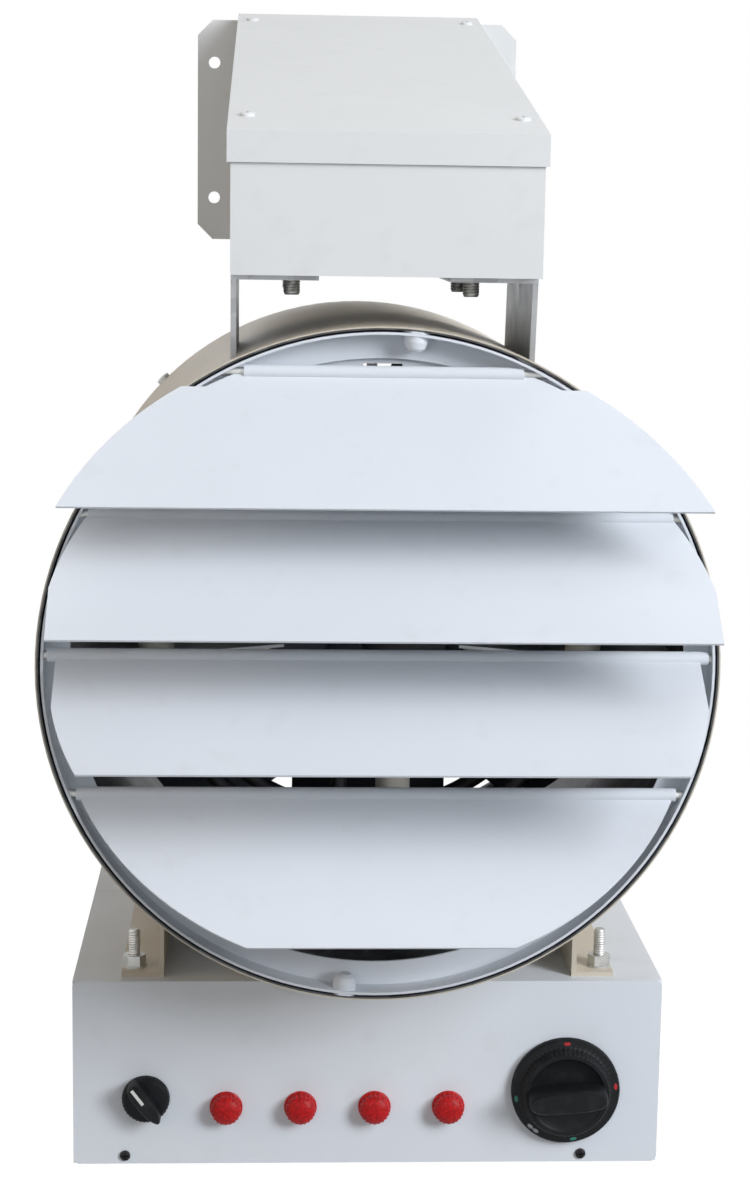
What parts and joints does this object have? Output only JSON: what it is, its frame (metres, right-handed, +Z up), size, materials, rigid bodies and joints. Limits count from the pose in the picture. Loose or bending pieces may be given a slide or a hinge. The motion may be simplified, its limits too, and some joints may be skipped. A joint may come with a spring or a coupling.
{
  "type": "wall heater",
  "caption": "Round duct fan heater on a wall bracket, with adjustable louvre blades over its mouth and a control box with rotary switch, lamps and thermostat underneath.",
  "frame": {"origin": "centre of the wall plate's hole pattern, on the plane of the wall", "axes": "+X to the right seen from the room, +Y into the wall, +Z up; the heater lies at negative Y"},
  "size_m": [0.318, 0.4343, 0.5928],
  "materials": {
    "white_paint": "satin powder coat",
    "zinc": "zinc plated",
    "dark_screw": "blackened",
    "element_sheath": "heat-darkened",
    "ceramic": "unglazed ceramic",
    "fan_sheet": "black enamel",
    "motor_paint": "semi-gloss",
    "black_plastic": "satin",
    "red_lens": "translucent gloss",
    "pale_plastic": "matt",
    "capacitor_can": "drawn can"
  },
  "bodies": {
    "housing": {"duct_shell": "white_paint", "louvre_collar": "white_paint", "collar_bolts": "white_paint", "collar_spacers": "white_paint", "top_baffle": "white_paint", "saddle_left": "white_paint", "saddle_right": "white_paint", "control_box_body": "white_paint", "control_panel": "white_paint", "control_box_base": "white_paint", "wall_plate": "white_paint", "bracket_box": "white_paint", "bracket_lid": "white_paint", "rear_guard": "white_paint", "saddle_rivets": "white_paint", "lid_screws": "white_paint", "louvre_rod_1": "zinc", "louvre_rod_2": "zinc", "louvre_rod_3": "zinc", "louvre_rod_4": "zinc", "saddle_studs": "zinc", "saddle_nuts": "zinc", "hanger_bolts": "zinc", "guard_clips": "zinc", "guard_screws": "zinc", "motor_bracket": "zinc", "element_supports": "zinc", "hanger_left": "zinc", "hanger_right": "zinc", "panel_screws": "dark_screw", "heating_element_1": "element_sheath", "heating_element_2": "element_sheath", "heating_element_3": "element_sheath", "element_bushings": "ceramic", "element_insulators": "ceramic", "motor_body": "motor_paint", "switch_body": "black_plastic", "thermostat_body": "black_plastic", "cable_gland": "black_plastic", "limit_thermostat": "black_plastic", "lamp_lens_1": "red_lens", "lamp_lens_2": "red_lens", "lamp_lens_3": "red_lens", "lamp_lens_4": "red_lens", "lamp_bodies": "pale_plastic", "terminal_block": "pale_plastic", "motor_capacitor": "capacitor_can"},
    "louvre_1": {"louvre_blade_1": "white_paint"},
    "louvre_2": {"louvre_blade_2": "white_paint"},
    "louvre_3": {"louvre_blade_3": "white_paint"},
    "louvre_4": {"louvre_blade_4": "white_paint"},
    "switch": {"switch_knob": "black_plastic", "switch_spindle": "zinc"},
    "thermostat": {"thermostat_knob": "black_plastic", "thermostat_spindle": "zinc"},
    "fan": {"fan_impeller": "fan_sheet", "fan_hub": "zinc", "motor_shaft": "zinc"}
  },
  "joints": [
    {"name": "louvre_1_hinge", "type": "hinge", "parent": "housing", "child": "louvre_1", "pos_m": [0, -0.373, -0.1203], "axis": [-1, 0, 0], "range_deg": [-5, 30]},
    {"name": "louvre_2_hinge", "type": "hinge", "parent": "housing", "child": "louvre_2", "pos_m": [0, -0.373, -0.186], "axis": [-1, 0, 0], "range_deg": [-14, 21]},
    {"name": "louvre_3_hinge", "type": "hinge", "parent": "housing", "child": "louvre_3", "pos_m": [0, -0.373, -0.2517], "axis": [-1, 0, 0], "range_deg": [-20.5, 14.5]},
    {"name": "louvre_4_hinge", "type": "hinge", "parent": "housing", "child": "louvre_4", "pos_m": [0, -0.373, -0.3174], "axis": [-1, 0, 0], "range_deg": [-10, 25]},
    {"name": "switch_turn", "type": "hinge", "parent": "housing", "child": "switch", "pos_m": [-0.1115, -0.318, -0.489], "axis": [0, 1, 0], "range_deg": [-143, 37]},
    {"name": "thermostat_turn", "type": "hinge", "parent": "housing", "child": "thermostat", "pos_m": [0.1002, -0.318, -0.485], "axis": [0, 1, 0], "range_deg": [-135, 135]},
    {"name": "fan_spin", "type": "hinge", "parent": "housing", "child": "fan", "pos_m": [0, -0.186, -0.258], "axis": [0, 1, 0], "continuous": true}
  ]
}
